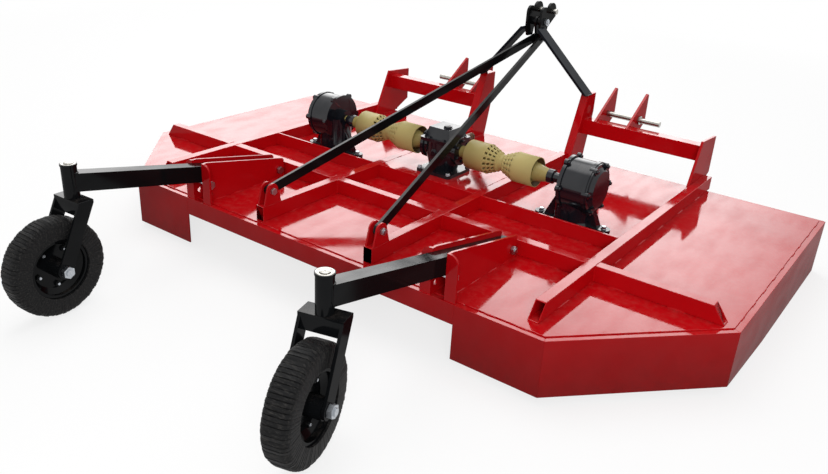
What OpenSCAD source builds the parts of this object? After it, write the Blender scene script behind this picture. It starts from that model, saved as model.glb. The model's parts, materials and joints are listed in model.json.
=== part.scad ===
// Twin-rotor rotary slasher mower for a three-point linkage, with two trailing castor wheels.
// Millimetres. X runs across the machine, +Y towards the tractor, Z up from the ground.
// Heights of the pieces are given above the lip of the skirts, and lengths from the deck's rear edge.

/* [Deck] */
// Width over the side skirts
deck_w = 2900; // [2700:10:3200]
// Depth from the rear edge to the front edge
deck_d = 1684; // [1640:4:1760]
// Height of the skirt lip above the ground
deck_h = 236; // [225:1:260]
// How much of the rear edge each cut corner takes
corner_in = 447; // [380:1:520]
// How far forward each cut corner reaches
corner_fwd = 470; // [420:1:520]
// Thickness of the top sheet
sheet_t = 4; // [3:0.5:6]
// Thickness of the skirts
skirt_t = 6; // [4:0.5:10]
// Depth of the full skirts below the lip
skirt_depth = 207; // [180:1:215]
// Depth of the narrow bands at the front and across the discharge opening
band_depth = 75; // [50:1:100]
// Half width of the discharge opening at the rear
discharge_half = 670; // [600:5:760]
// Width of the lip turned in along the top of the skirts
lip_w = 38; // [32:1:50]
// Width of lip that shows outside the top sheet
lip_show = 22; // [14:1:28]
// Where the side skirts reach the ground as skids
skid_start = 900; // [700:10:1200]

/* [Frame] */
// Height of the frame tubes
tube_h = 60; // [50:1:80]
// Width of the frame tubes
tube_w = 40; // [36:1:46]
// Wall of the frame tubes
tube_wall = 4; // [3:0.5:6]
// Centre of the outer rails from the middle of the machine
outer_rail_x = 921; // [880:1:960]
// Rear end of the outer rails, at their top
outer_rail_y = 113; // [90:1:140]
// How far the sloping rear end of the outer rails reaches back at its foot
rail_slant = 42; // [20:1:60]
// How far the outer rails run out past the deck's front edge
rail_past = 20; // [0:1:40]
// Centre of the inner rails from the middle of the machine
inner_rail_x = 273; // [260:1:290]
// Rear end of the inner rails
inner_rail_y = 36; // [28:1:60]
// Centre line of the rear cross tube
cross_y = 484; // [478:1:500]
// How far the rear cross tube stops short of the side skirts, along its top
cross_in = 96; // [70:1:170]
// How far the sloping ends of the rear cross tube reach out at their foot
cross_slant = 45; // [20:1:60]
// Rear face of the front cross bars and of the gearbox platform
bar_y = 742; // [720:1:746]
// Thickness of the front cross bars
bar_t = 10; // [6:1:10]
// Thickness of the gearbox platform
platform_t = 8; // [6:1:10]
// Front end of the gearbox platform
platform_end = 1030; // [1010:1:1060]

/* [Gearboxes] */
// Line of the drive shafts and rotors
drive_y = 885; // [881:1:900]
// Height of the drive line
drive_z = 175; // [172:1:182]
// Rotor centres from the middle of the machine
rotor_x = 645; // [640:1:650]
// Diameter of the gearbox shafts
shaft_d = 35; // [30:0.5:38]
// Width of the centre gearbox
centre_w = 150; // [144:1:156]
// Height of the centre gearbox above its platform
centre_h = 205; // [196:1:215]
// Height of the bolted lid on the centre gearbox
lid_h = 46; // [38:1:50]
// Reach of the bearing bosses on both sides of the centre gearbox
centre_boss = 92; // [88:1:96]
// Reach of the bearing boss at the front of the centre gearbox
front_boss = 100; // [96:1:106]
// Diameter of the bearing bosses
boss_d = 112; // [104:1:120]
// Diameter of the side gearboxes' columns
column_d = 150; // [140:1:158]
// Diameter of the side gearboxes' drums
drum_d = 205; // [196:1:214]
// Inner end of the drums, short of the rotor centre
drum_in = 38; // [34:1:44]
// Outer end of the drums, past the rotor centre
drum_out = 97; // [90:1:104]
// Length of the input boss on the inner end of a drum
boss_l = 30; // [24:1:36]
// Thickness of the gearboxes' flanges and covers
flange_t = 14; // [10:1:18]
// Diameter of the bolt ears on the flanges
ear_d = 26; // [20:1:30]
// Bolt circle radius of the side gearboxes' feet across the machine
foot_long = 140; // [130:1:150]
// Bolt circle radius of the side gearboxes' feet along the machine
foot_short = 102; // [98:1:102]
// Width of the feet
foot_w = 52; // [44:1:54]
// Thickness of the feet
foot_t = 16; // [12:1:20]
// Diameter of the bolt holes in the feet
foot_hole_d = 18; // [14:1:20]
// Height at which the feet's webs meet the column
web_h = 112; // [100:1:120]

/* [Drive shafts] */
// Outer end of the input stub
input_end = 1105; // [1080:1:1130]
// Outside diameter of the shaft guard bells
bell_d = 126; // [116:1:134]
// Length of each plain bell
bell_l = 90; // [80:1:100]
// Outside diameter of the guard at its waist
waist_d = 70; // [64:1:80]
// Length of the waist that runs on the shaft tube
waist_l = 16; // [12:1:24]
// Height of the rings moulded on the tapers
ring_h = 5; // [3:0.5:6]
// Number of rings on each taper
ring_count = 4; // [2:1:6]
// Wall of the shaft guards
guard_wall = 3; // [2:0.5:5]
// Mouth of the guard on the inner side, from the middle of the machine
guard_in = 137; // [130:1:145]
// Mouth of the guard on the outer side
guard_out = 467; // [455:1:475]
// Diameter of the telescopic shaft tube
tube_d = 48; // [42:1:52]
// Centre of the inner universal joint from the middle of the machine
joint_in = 176; // [172:1:180]
// Centre of the outer universal joint
joint_out = 438; // [432:1:444]
// Outer end of the outer yoke's collar
yoke_end = 541; // [536:1:546]
// Diameter of the joint crosses' arms
cross_d = 22; // [18:1:26]
// Radius over the ears of the yokes
ear_r = 40; // [38:1:44]
// Width of the ears of the yokes
ear_w = 36; // [30:1:40]

/* [Rotors] */
// Diameter of the rotor shafts
rotor_shaft_d = 50; // [44:1:56]
// Top of the rotor shafts inside the gearboxes
rotor_top = 74; // [70:1:78]
// Diameter of the rotor hubs
hub_d = 120; // [110:1:128]
// Height of the rotor hubs above the carrier
hub_h = 45; // [38:1:50]
// Underside of the blade carriers, below the lip
carrier_z = -144; // [-150:1:-138]
// Thickness of the blade carriers
carrier_t = 16; // [12:1:20]
// Width of the blade carriers
carrier_w = 100; // [90:1:110]
// Radius of the blade pivots
blade_pivot_r = 250; // [230:1:270]
// Radius swept by the blade tips
blade_tip_r = 690; // [660:1:700]
// Width of a blade
blade_w = 80; // [60:1:90]
// Thickness of a blade
blade_t = 10; // [8:1:14]
// Height of the wing turned up along a blade's trailing edge
wing_h = 18; // [12:1:22]
// Distance of the wing from the blade's pivot
wing_start = 110; // [100:1:140]
// Diameter of the blade pins
blade_pin_d = 30; // [24:1:36]
// Height of the blade pins' heads
pin_head = 12; // [8:1:16]
// Rest angle of the blade pairs
rotor_angle = 45; // [0:1:90]

/* [Hitch] */
// Rear foot of the inner uprights behind the deck's front edge
upright_back = 179; // [170:1:190]
// Centre of the inner uprights from the middle of the machine
upright_x = 290; // [284:1:296]
// Width of the inner uprights across the machine
upright_w = 40; // [34:1:46]
// Height of the inner uprights
upright_top = 335; // [320:1:350]
// How far the inner uprights lean out past the deck's front edge
upright_past = 36; // [26:1:40]
// Height at which the front face of the inner uprights turns straight up
upright_knee = 240; // [220:1:260]
// Lean of the inner uprights' rear face, in degrees
upright_lean = 21.6; // [20:0.1:23]
// Rear foot of the outer upright plates behind the deck's front edge
outer_back = 197; // [185:1:210]
// Height of the outer upright plates at the rear
outer_top = 246; // [236:1:256]
// Lean of the outer upright plates' rear edge, in degrees
outer_lean = 25.2; // [24:0.1:27]
// How far the outer upright plates reach past the deck's front edge
outer_past = 98; // [90:1:110]
// Height at which the outer upright plates' front edge starts
outer_chin = 60; // [50:1:80]
// Thickness of the outer upright, lug and mast head plates
plate_t = 12; // [8:1:14]
// Rear face of the hitch beams behind the deck's front edge
beam_back = 59; // [54:1:64]
// Depth of the hitch beams
beam_d = 60; // [50:1:64]
// Underside of the hitch beams
beam_z = 145; // [135:1:155]
// Height of the hitch beams
beam_h = 72; // [60:1:80]
// How far the lower link lugs reach past the deck's front edge
lug_past = 156; // [146:1:166]
// Height of the tips of the lower link lugs
lug_top = 350; // [335:1:360]
// Length of the sloping chin under the lugs
lug_chin = 50; // [40:1:60]
// Inner lug of each pair, from the middle of the machine
lug_in_x = 365; // [355:1:380]
// Outer lug of each pair
lug_out_x = 526; // [500:1:540]
// Lower link pins past the deck's front edge
link_past = 68; // [62:1:76]
// Height of the lower link pins
link_z = 236; // [230:1:245]
// Diameter of the lower link pins
link_d = 28; // [22:0.5:36]
// Outer end of the lower link pins
link_end = 640; // [620:1:660]
// Thickness of the collars on the link pins
collar_t = 10; // [6:1:12]
// Step of a collar over its pin
collar_step = 7; // [5:0.5:9]
// Top link pin behind the deck's front edge
top_back = 9; // [4:1:16]
// Height of the top link pin
top_z = 690; // [680:1:700]
// Diameter of the top link pin
top_d = 25; // [19:0.5:32]
// How far the top link pin stands out past its plate
top_past = 26; // [20:1:34]
// Clear width between the mast head plates
head_gap = 60; // [54:1:70]
// Radius of the mast head plates about the top link pin
head_r = 40; // [36:1:44]
// Length of the mast head plates behind the top link pin
head_l = 103; // [100:1:108]
// How far the mast head plates reach down from the top link pin
head_drop = 116; // [110:1:124]
// Bolt of the hanging tab behind the top link pin
head_bolt_back = 60; // [57:1:63]
// Bolt of the hanging tab below the top link pin
head_bolt_drop = 46; // [44:1:50]
// Diameter of the hanging tab's bolt
head_bolt_d = 20; // [16:1:22]
// Width of the mast legs
leg_w = 42; // [36:1:46]
// Thickness of the mast legs
leg_t = 12; // [8:1:16]
// How far the mast legs lean back from foot to head
leg_lean = 64; // [58:1:70]
// Top of the mast legs behind the top link pin
leg_back = 71; // [68:1:74]
// Top of the mast legs below the top link pin
leg_drop = 70; // [66:1:74]
// Width of the hanging tab
tab_w = 50; // [46:1:54]
// Thickness of the hanging tab
tab_t = 12; // [8:1:14]
// Stays' front bolt behind the top link pin
tab_back = 35; // [32:1:38]
// Stays' front bolt below the top link pin
tab_drop = 130; // [126:1:136]
// Height of the stays' flat bar
stay_h = 42; // [34:1:46]
// Thickness of the stays' flat bar
stay_t = 12; // [8:1:14]
// Rear bolts of the stays
stay_y = 88; // [80:1:110]
// Height of the stays' rear bolts
stay_z = 117; // [112:1:125]
// Diameter of the stays' bolts
stay_bolt_d = 16; // [12:1:18]
// Thickness of the lug plates at the stays' rear ends
stay_lug_t = 8; // [6:1:10]
// Radius of those lug plates
stay_lug_r = 30; // [26:1:34]
// Clear space beside a stay between its lug plates
stay_room = 6; // [5:0.5:8]

/* [Castors] */
// Castor stems from the middle of the machine
castor_x = 599; // [580:1:620]
// Castor stems behind the rear edge
castor_back = 536; // [500:1:570]
// Outside diameter of the castor tubes
castor_tube_d = 54; // [52:1:60]
// Top of the castor tubes
castor_top = 291; // [285:1:300]
// Underside of the castor tubes
castor_low = 176; // [172:1:180]
// Diameter of the castor stems
stem_d = 40; // [34:1:42]
// Height of the cap on a castor stem
cap_h = 8; // [6:1:12]
// Width of the castor arms
arm_w = 56; // [48:1:60]
// Height of the castor arms
arm_h = 66; // [60:1:70]
// Slope of the castor arms, down to the front
arm_slope = 11.5; // [11:0.1:12.5]
// Pivot bolt of the castor arms
arm_pivot_y = 420; // [410:1:425]
// Height of the arms' pivot bolt
arm_pivot_z = 40; // [38:1:46]
// Length of the arms ahead of their pivot bolt
arm_nose = 32; // [28:1:36]
// Diameter of the arm bolts
arm_bolt_d = 20; // [16:1:22]
// Bolt that the arms rest on, from the rear edge
support_y = 34; // [30:1:40]
// Distance down to the next height hole
height_step = 38; // [34:1:42]
// Thickness of the castor bracket plates
bracket_t = 8; // [6:1:12]
// Height of the brackets at the rear
bracket_h = 170; // [165:1:180]
// Height of the brackets at the front
bracket_front_h = 90; // [86:1:96]
// Length of the brackets ahead of the pivot bolt
bracket_nose = 30; // [26:1:34]
// Rear face of the brackets
bracket_y = 4; // [2:1:8]
// Width of the flanges turned out at the rear of the brackets
bracket_flange = 36; // [30:1:40]
// Width over the fork legs
fork_w = 140; // [136:1:150]
// Thickness of the fork legs
fork_t = 10; // [8:1:12]
// Thickness of the fork's top plate
fork_plate = 12; // [10:1:14]
// Reach of the fork's top plate ahead of the stem
fork_front = 34; // [30:1:40]
// Reach of the fork's top plate behind the stem
fork_rear = 27; // [26:1:32]
// Height of the cross plate between the fork legs
fork_cross_h = 54; // [46:1:56]
// Thickness of that cross plate
fork_cross_t = 8; // [6:1:10]
// Radius of the fork's axle eyes
eye_r = 30; // [26:1:34]
// Distance of the axle behind the stem
trail = 104; // [100:1:115]
// Outside radius of the tyres
tyre_r = 181; // [176:1:184]
// Width of the tyres
tyre_w = 88; // [80:1:92]
// Radius of the tyres' shoulders
shoulder = 22; // [16:1:26]
// Outside radius of the rims
rim_r = 110; // [100:1:118]
// Wall of the rims
rim_wall = 8; // [6:1:10]
// Diameter of the wheel hubs
wheel_hub_d = 66; // [60:1:72]
// Radius of the wheel bolts' circle
wheel_bolt_r = 68; // [64:1:72]
// Diameter of the wheel bolts
wheel_bolt_d = 12; // [10:1:14]
// Diameter of the wheel axles
axle_d = 25; // [20:1:30]
// Swivel of the left castor
swivel_left = 3; // [-20:1:20]
// Swivel of the right castor
swivel_right = 15; // [-20:1:20]

/* [Fits] */
// Radial clearance of a running fit
run_gap = 0.05; // [0.02:0.01:0.1]
// Radial clearance of a bolt in its hole
bolt_gap = 0.25; // [0.1:0.05:0.5]
// Radial clearance of the guards on their shaft tubes and of the tyres on their rims
loose_gap = 0.3; // [0.2:0.05:0.5]
// Clearance between faces that slide on each other
face_gap = 0.4; // [0.3:0.1:0.8]
// Clearance on each side of a castor arm between its bracket plates
arm_gap = 0.5; // [0.4:0.1:1]

/* [Hidden] */
$fn = 64;
past = 1;
half_w = deck_w / 2;
corner_a = atan2(corner_fwd, corner_in);
rear_half = half_w - corner_in;
tube_top = sheet_t + tube_h;
cross_half = half_w - cross_in;
upright_y = deck_d - upright_back;
beam_y = deck_d - beam_back;
beam_in = upright_x + upright_w / 2;
beam_out = outer_rail_x - tube_w / 2 - plate_t;
lug_front = deck_d + lug_past;
link_y = deck_d + link_past;
top_y = deck_d - top_back;
head_in = head_gap / 2;
head_out = head_in + plate_t;
head_low = top_z - head_drop;
head_bolt_y = top_y - head_bolt_back;
head_bolt_z = top_z - head_bolt_drop;
tab_y = top_y - tab_back;
tab_z = top_z - tab_drop;
eye_step = tab_w / 16;
stay_front_x = tab_t / 2 + stay_room + stay_t / 2;
stay_run = tab_y - stay_y;
stay_in = inner_rail_x - stay_front_x;
stay_yaw = atan2(stay_in, stay_run);
stay_pitch = atan2(tab_z - stay_z, norm([stay_run, stay_in]));
stay_len = norm([stay_run, stay_in, tab_z - stay_z]);
stay_lug_x = stay_t / 2 + stay_room + stay_lug_t / 2;
castor_y = -castor_back;
castor_reach = max([for (a = [swivel_left, swivel_right])
    (trail + tyre_r - shoulder) * cos(a) + (tyre_w / 2 - shoulder) * sin(abs(a)) + shoulder]);
mid_y = (lug_front - castor_back - castor_reach) / 2;
axle_z = tyre_r - deck_h;
arm_half = arm_h / 2 / cos(arm_slope);
support_z = arm_pivot_z + (arm_pivot_y - support_y) * tan(arm_slope) - arm_half - arm_bolt_d / 2 - face_gap;
bracket_x = arm_w / 2 + arm_gap;
fork_top = castor_low - face_gap;
fork_in = fork_w / 2 - fork_t;
yoke_start = centre_boss + face_gap;
yoke_collar_d = 1.5 * shaft_d;
yoke_collar_l = 0.7 * shaft_d;
shaft_seat = 1.2 * shaft_d;
blade_top = carrier_z - face_gap;
blade_low = blade_top - blade_t;
bolt_head_h = 0.7;
bolt_past = 0.9;
bolt_head_d = 1.8;
red = "#c4101c";
black = "#18191b";
khaki = "#b3a86c";
zinc = "#c9c9c4";

// Corners of the deck, counter-clockwise from the rear left, moved in by d
function outline(d) = let (
        x = rear_half - d * tan(corner_a / 2),
        y = corner_fwd + d * tan(45 - corner_a / 2),
        w = half_w - d)
    [[-x, d], [x, d], [w, y], [w, deck_d - d], [-w, deck_d - d], [-w, y]];

// Everything is drawn from the deck's rear edge and lip, then set over the middle of the ground
module seat() translate([0, -mid_y, deck_h]) children();

module left() mirror([1, 0, 0]) children();

module both() for (s = [-1, 1]) scale([s, 1, 1]) children();

// A flat shape given in Y and Z, as thick as t, from x outwards
module side_plate(x, t) translate([x, 0, 0]) rotate([90, 0, 90]) linear_extrude(t) children();

// A flat shape given in X and Z, as thick as t, from y forwards
module cross_plate(y, t) translate([0, y + t, 0]) rotate([90, 0, 0]) linear_extrude(t) children();

// A round bar along X from x0 to x1 at a given Y and Z
module round_bar(x0, x1, y, z, d) translate([x0, y, z]) rotate([0, 90, 0]) cylinder(h = x1 - x0, d = d);

// A round bar along Y on the drive line from y0 to y1
module front_bar(y0, y1, d) translate([0, y0, drive_z]) rotate([-90, 0, 0]) cylinder(h = y1 - y0, d = d);

// A box given by its lowest and highest corners
module block(low, high) translate(low) cube(high - low);

// Part of the rim of the deck between corner i and the next one
module rim_strip(i, d0, d1) {
    o = outline(d0);
    n = outline(d1);
    j = (i + 1) % 6;
    polygon([o[i], o[j], n[j], n[i]]);
}

module deck_sheet() color(red) seat() difference() {
    linear_extrude(sheet_t) polygon(outline(lip_show));
    for (s = [-1, 1]) translate([s * rotor_x, drive_y, -past])
        cylinder(h = sheet_t + 2 * past, d = column_d - foot_t);
}

module side_skirt() color(red) seat() {
    intersection() {
        translate([0, 0, -deck_h]) linear_extrude(deck_h) rim_strip(2, 0, skirt_t);
        side_plate(half_w - skirt_t - past, skirt_t + 2 * past)
            polygon([[0, 0], [0, -skirt_depth], [corner_fwd, -skirt_depth], [skid_start, -deck_h],
                [deck_d, -deck_h], [deck_d, 0]]);
    }
    translate([0, 0, -skirt_t]) linear_extrude(skirt_t) rim_strip(2, skirt_t, lip_w);
}

module corner_skirt() color(red) seat() {
    translate([0, 0, -skirt_depth]) linear_extrude(skirt_depth) rim_strip(1, 0, skirt_t);
    translate([0, 0, -skirt_t]) linear_extrude(skirt_t) rim_strip(1, skirt_t, lip_w);
}

module rear_skirt() color(red) seat() intersection() {
    union() {
        translate([0, 0, -skirt_depth]) linear_extrude(skirt_depth) rim_strip(0, 0, skirt_t);
        translate([0, 0, -skirt_t]) linear_extrude(skirt_t) rim_strip(0, skirt_t, lip_w);
    }
    block([discharge_half, -past, -deck_h], [half_w, lip_w + past, past]);
}

module rear_band() color(red) seat() {
    block([-discharge_half, 0, -band_depth], [discharge_half, skirt_t, 0]);
    block([-discharge_half, skirt_t, -skirt_t], [discharge_half, lip_w, 0]);
}

module front_band() color(red) seat() {
    inner = half_w - skirt_t;
    block([-inner, deck_d - skirt_t, -band_depth], [inner, deck_d, 0]);
    translate([0, 0, -skirt_t]) linear_extrude(skirt_t) rim_strip(3, skirt_t, lip_w);
}

// Rectangular tube along Y that lies on the deck, its side view given as a flat shape
module rail(x) color(red) seat() difference() {
    side_plate(x - tube_w / 2, tube_w) children();
    block([x - tube_w / 2 + tube_wall, -past, sheet_t + tube_wall],
        [x + tube_w / 2 - tube_wall, deck_d + rail_past + past, tube_top - tube_wall]);
}

module outer_rail() rail(outer_rail_x)
    polygon([[outer_rail_y - rail_slant, sheet_t], [deck_d + rail_past, sheet_t],
        [deck_d + rail_past, tube_top], [outer_rail_y, tube_top]]);

module inner_rail() rail(inner_rail_x)
    polygon([[inner_rail_y, sheet_t], [upright_y, sheet_t], [upright_y + tube_h * tan(upright_lean), tube_top],
        [inner_rail_y, tube_top]]);

// The cross tube is cut between the rails, with sloping outer ends
module rear_cross_tubes() color(red) seat() {
    inner_in = inner_rail_x - tube_w / 2;
    inner_out = inner_rail_x + tube_w / 2;
    outer_in = outer_rail_x - tube_w / 2;
    outer_out = outer_rail_x + tube_w / 2;
    difference() {
        cross_plate(cross_y - tube_w / 2, tube_w) {
            translate([-inner_in, sheet_t]) square([2 * inner_in, tube_h]);
            for (s = [-1, 1]) scale([s, 1]) {
                translate([inner_out, sheet_t]) square([outer_in - inner_out, tube_h]);
                polygon([[outer_out, sheet_t], [cross_half + cross_slant, sheet_t], [cross_half, tube_top],
                    [outer_out, tube_top]]);
            }
        }
        block([-half_w, cross_y - tube_w / 2 + tube_wall, sheet_t + tube_wall],
            [half_w, cross_y + tube_w / 2 - tube_wall, tube_top - tube_wall]);
    }
}

module front_cross_bars() color(red) seat() both()
    block([inner_rail_x + tube_w / 2, bar_y, sheet_t], [outer_rail_x - tube_w / 2, bar_y + bar_t, tube_top]);

// Bent plate between the inner rails, with its rear and front edges turned down to the deck
module gearbox_platform() color(red) seat() {
    w = inner_rail_x - tube_w / 2;
    side_plate(-w, 2 * w) difference() {
        translate([bar_y, sheet_t]) square([platform_end - bar_y, tube_h]);
        translate([bar_y + platform_t, sheet_t - past])
            square([platform_end - bar_y - 2 * platform_t, tube_h + past - platform_t]);
    }
}

// A square with round corners
module round_square(w, r) {
    square([w, w - 2 * r], center = true);
    square([w - 2 * r, w], center = true);
    for (x = [-1, 1], y = [-1, 1]) translate([x * (w / 2 - r), y * (w / 2 - r)]) circle(r);
}

// A ring of bolt ears along X around the drive line of a gearbox
module bolt_ears(x0, x1, radius, count) for (k = [0 : count - 1])
    translate([0, drive_y, drive_z]) rotate([360 * (k + 0.5) / count, 0, 0])
        round_bar(x0, x1, 0, radius, ear_d);

// Round-bellied housing under a flange and a lid with sloping sides, on a square foot
module centre_gearbox() color(black) seat() difference() {
    flange_z = centre_h - lid_h - flange_t;
    slope = lid_h / 3;
    lid_half = centre_w / 2 - slope / 2;
    union() {
        translate([0, drive_y, tube_top]) {
            linear_extrude(flange_t) round_square(centre_w + 2 * flange_t, flange_t);
            translate([0, 0, flange_t - past])
                cylinder(h = flange_z / 2, d1 = centre_w - 2 * flange_t, d2 = centre_w + flange_t);
            translate([0, 0, flange_t - 2 * past + flange_z / 2])
                cylinder(h = flange_z / 2 - flange_t + 3 * past, d = centre_w + flange_t);
            translate([0, 0, flange_z]) linear_extrude(flange_t) round_square(centre_w + flange_t, flange_t);
            translate([0, 0, centre_h - lid_h - past]) intersection_for(a = [0, 90]) rotate([0, 0, a])
                cross_plate(-centre_w / 2, centre_w) polygon([[-lid_half, 0], [lid_half, 0],
                    [lid_half - slope, lid_h + past], [-lid_half + slope, lid_h + past]]);
        }
        round_bar(-centre_boss, centre_boss, drive_y, drive_z, boss_d);
        both() round_bar(centre_boss - flange_t, centre_boss, drive_y, drive_z, boss_d + flange_t);
        front_bar(drive_y, drive_y + front_boss, boss_d);
        front_bar(drive_y + front_boss - 2 * flange_t, drive_y + front_boss - flange_t, boss_d + flange_t);
    }
    both() round_bar(centre_boss - shaft_seat - past, centre_boss + past, drive_y, drive_z,
        shaft_d + 2 * run_gap);
    front_bar(drive_y + shaft_seat - past, drive_y + front_boss + past, shaft_d + 2 * run_gap);
}

// Upright column on four webbed feet, under a bevel drum with a bolted flange and a stepped end cover
module side_gearbox() color(black) seat() difference() {
    inner = rotor_x - drum_in;
    outer = rotor_x + drum_out;
    cover = drum_d - 2 * flange_t;
    union() {
        round_bar(inner, outer - flange_t / 2, drive_y, drive_z, drum_d);
        round_bar(inner, inner + flange_t, drive_y, drive_z, drum_d + flange_t);
        bolt_ears(inner, inner + flange_t, drum_d / 2 + ear_d / 4, 6);
        round_bar(outer - 2 * flange_t, outer - flange_t, drive_y, drive_z, drum_d + flange_t / 2);
        bolt_ears(outer - 2 * flange_t, outer, drum_d / 2 - ear_d / 4, 6);
        translate([outer - flange_t / 2 - past, drive_y, drive_z]) rotate([0, 90, 0])
            cylinder(h = flange_t + past, d1 = cover, d2 = cover - 2 * flange_t);
        round_bar(inner - boss_l, inner + past, drive_y, drive_z, 0.72 * boss_d);
        translate([rotor_x, drive_y, sheet_t]) {
            cylinder(h = drive_z, d = column_d);
            cylinder(h = foot_t, d = column_d + 2 * foot_t);
            translate([0, 0, foot_t - past]) cylinder(h = foot_t, d1 = column_d + foot_t, d2 = column_d - past);
            for (k = [0 : 3]) rotate([0, 0, 90 * k]) {
                reach = k % 2 == 0 ? foot_long : foot_short;
                heel = reach - foot_w / 2 + foot_hole_d / 4;
                block([0, -foot_w / 2, 0], [reach, foot_w / 2, foot_t]);
                translate([reach, 0, 0]) cylinder(h = foot_t, d = foot_w);
                cross_plate(-foot_w / 3, 2 * foot_w / 3) polygon([[0, 0], [heel, 0], [heel, foot_t + past],
                    [column_d / 2 - past, web_h], [0, web_h]]);
            }
        }
    }
    round_bar(rotor_x - column_d / 2 - past, rotor_x - past, drive_y, drive_z, shaft_d + 2 * run_gap);
    translate([rotor_x, drive_y, 0]) cylinder(h = rotor_top + 5 * past, d = rotor_shaft_d + 2 * run_gap);
    for (k = [0 : 3]) translate([rotor_x, drive_y, 0]) rotate([0, 0, 90 * k])
        translate([k % 2 == 0 ? foot_long : foot_short, 0, 0]) cylinder(h = web_h, d = foot_hole_d);
}

module inner_upright() color(red) seat() side_plate(upright_x - upright_w / 2, upright_w)
    polygon([[upright_y, sheet_t], [deck_d - lip_show, sheet_t], [deck_d + upright_past, upright_knee],
        [deck_d + upright_past, upright_top],
        [upright_y + (upright_top - sheet_t) * tan(upright_lean), upright_top]]);

module outer_upright() color(red) seat() side_plate(beam_out, plate_t)
    polygon([[deck_d - outer_back, sheet_t], [deck_d - lip_show, sheet_t], [deck_d + outer_past, outer_chin],
        [deck_d + outer_past, outer_top - plate_t],
        [deck_d - outer_back + (outer_top - sheet_t) * tan(outer_lean), outer_top]]);

module hitch_beam() color(red) seat() difference() {
    block([beam_in, beam_y, beam_z], [beam_out, beam_y + beam_d, beam_z + beam_h]);
    block([beam_in - past, beam_y + tube_wall, beam_z + tube_wall],
        [beam_out + past, beam_y + beam_d - tube_wall, beam_z + beam_h - tube_wall]);
}

// Pointed plates on the front of the beams, two to each lower link
module hitch_lugs() color(red) seat() both() for (x = [lug_in_x, lug_out_x]) difference() {
    side_plate(x - plate_t / 2, plate_t) polygon([[beam_y, beam_z + beam_h],
        [beam_y + beam_d, beam_z + beam_h], [beam_y + beam_d, beam_z + lug_chin / 3],
        [lug_front - lug_chin, beam_z + lug_chin * 2 / 3], [lug_front, beam_z + lug_chin * 4 / 3],
        [lug_front, lug_top - plate_t / 2], [lug_front - plate_t, lug_top]]);
    round_bar(x - plate_t, x + plate_t, link_y, link_z, link_d + 2 * run_gap);
}

module lower_link_pins() color(zinc) seat() both() {
    head = lug_in_x - plate_t / 2 - face_gap;
    collar = lug_out_x + plate_t / 2 + face_gap;
    round_bar(head - collar_t, link_end, link_y, link_z, link_d);
    round_bar(head - collar_t, head, link_y, link_z, link_d + 2 * collar_step);
    round_bar(collar, collar + collar_t, link_y, link_z, link_d + 2 * collar_step);
}

// Two plates with rounded tops that take the top link between them
module mast_head() color(black) seat() both() difference() {
    rear_r = 0.8 * head_r;
    foot = 0.4 * head_l;
    side_plate(head_in, plate_t) translate([top_y, top_z]) {
        polygon([[-head_l, -head_r * 2], [-0.85 * head_l, -head_drop], [-foot, -head_drop],
            [-0.75 * foot, -1.8 * head_r], [head_r, -0.65 * head_r], [head_r, 0],
            [rear_r - head_l, rear_r - head_r * 0.15], [-head_l, 0]]);
        circle(head_r);
        translate([rear_r - head_l, -head_r * 0.15]) circle(rear_r);
    }
    round_bar(0, head_out + past, top_y, top_z, top_d + 2 * run_gap);
    round_bar(0, head_out + past, head_bolt_y, head_bolt_z, head_bolt_d + 2 * bolt_gap);
}

// Flat bar with round eyes about two points, each eye a little wider than the bar
module bar_2d(p, q, w) {
    neck = w - eye_step;
    translate(p) circle(d = w);
    translate(q) circle(d = w);
    translate(p) rotate(atan2(q[1] - p[1], q[0] - p[0])) translate([0, -neck / 2]) square([norm(q - p), neck]);
}

// Hanging tab with its spacer, between the head plates
module stay_tab() color(black) seat() difference() {
    union() {
        round_bar(-head_in + face_gap, head_in - face_gap, head_bolt_y, head_bolt_z, 1.8 * head_bolt_d);
        side_plate(-tab_t / 2, tab_t) bar_2d([head_bolt_y, head_bolt_z], [tab_y, tab_z], tab_w);
    }
    round_bar(-head_in, head_in, head_bolt_y, head_bolt_z, head_bolt_d + 2 * bolt_gap);
    round_bar(-head_in, head_in, tab_y, tab_z, stay_bolt_d + 2 * bolt_gap);
}

module top_link_pin() color(zinc) seat() {
    head = -head_out - face_gap;
    round_bar(head - collar_t, head_out + top_past, top_y, top_z, top_d);
    round_bar(head - collar_t, head, top_y, top_z, top_d + 2 * collar_step);
}

// Flat bar from the mast head out and down to the top of an inner upright
module mast_leg() color(black) seat() difference() {
    leg_top_z = top_z - leg_drop;
    drop = leg_top_z - upright_top;
    bend = leg_w * 2 / 3;
    translate([0, top_y - leg_back, leg_top_z]) rotate([atan2(leg_lean, drop), 0, 0])
        cross_plate(-leg_t / 2, leg_t) polygon([[head_out, 0], [head_out + leg_t / 2, 0], [upright_x + leg_w / 2, bend - drop],
            [upright_x + leg_w / 2, -drop - leg_w], [upright_x - leg_w / 2, -drop - leg_w],
            [upright_x - leg_w / 2, bend / 2 - drop], [head_out, head_low - leg_top_z]]);
    block([0, upright_y, 0], [half_w, lug_front, upright_top]);
}

module stay() color(black) seat() difference() {
    translate([inner_rail_x, stay_y, stay_z]) rotate([0, 0, stay_yaw]) rotate([stay_pitch, 0, 0])
        side_plate(-stay_t / 2, stay_t) bar_2d([0, 0], [stay_len, 0], stay_h);
    round_bar(inner_rail_x - 2 * stay_t, inner_rail_x + 2 * stay_t, stay_y, stay_z, stay_bolt_d + 2 * bolt_gap);
    round_bar(0, stay_front_x + 2 * stay_t, tab_y, tab_z, stay_bolt_d + 2 * bolt_gap);
}

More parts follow.
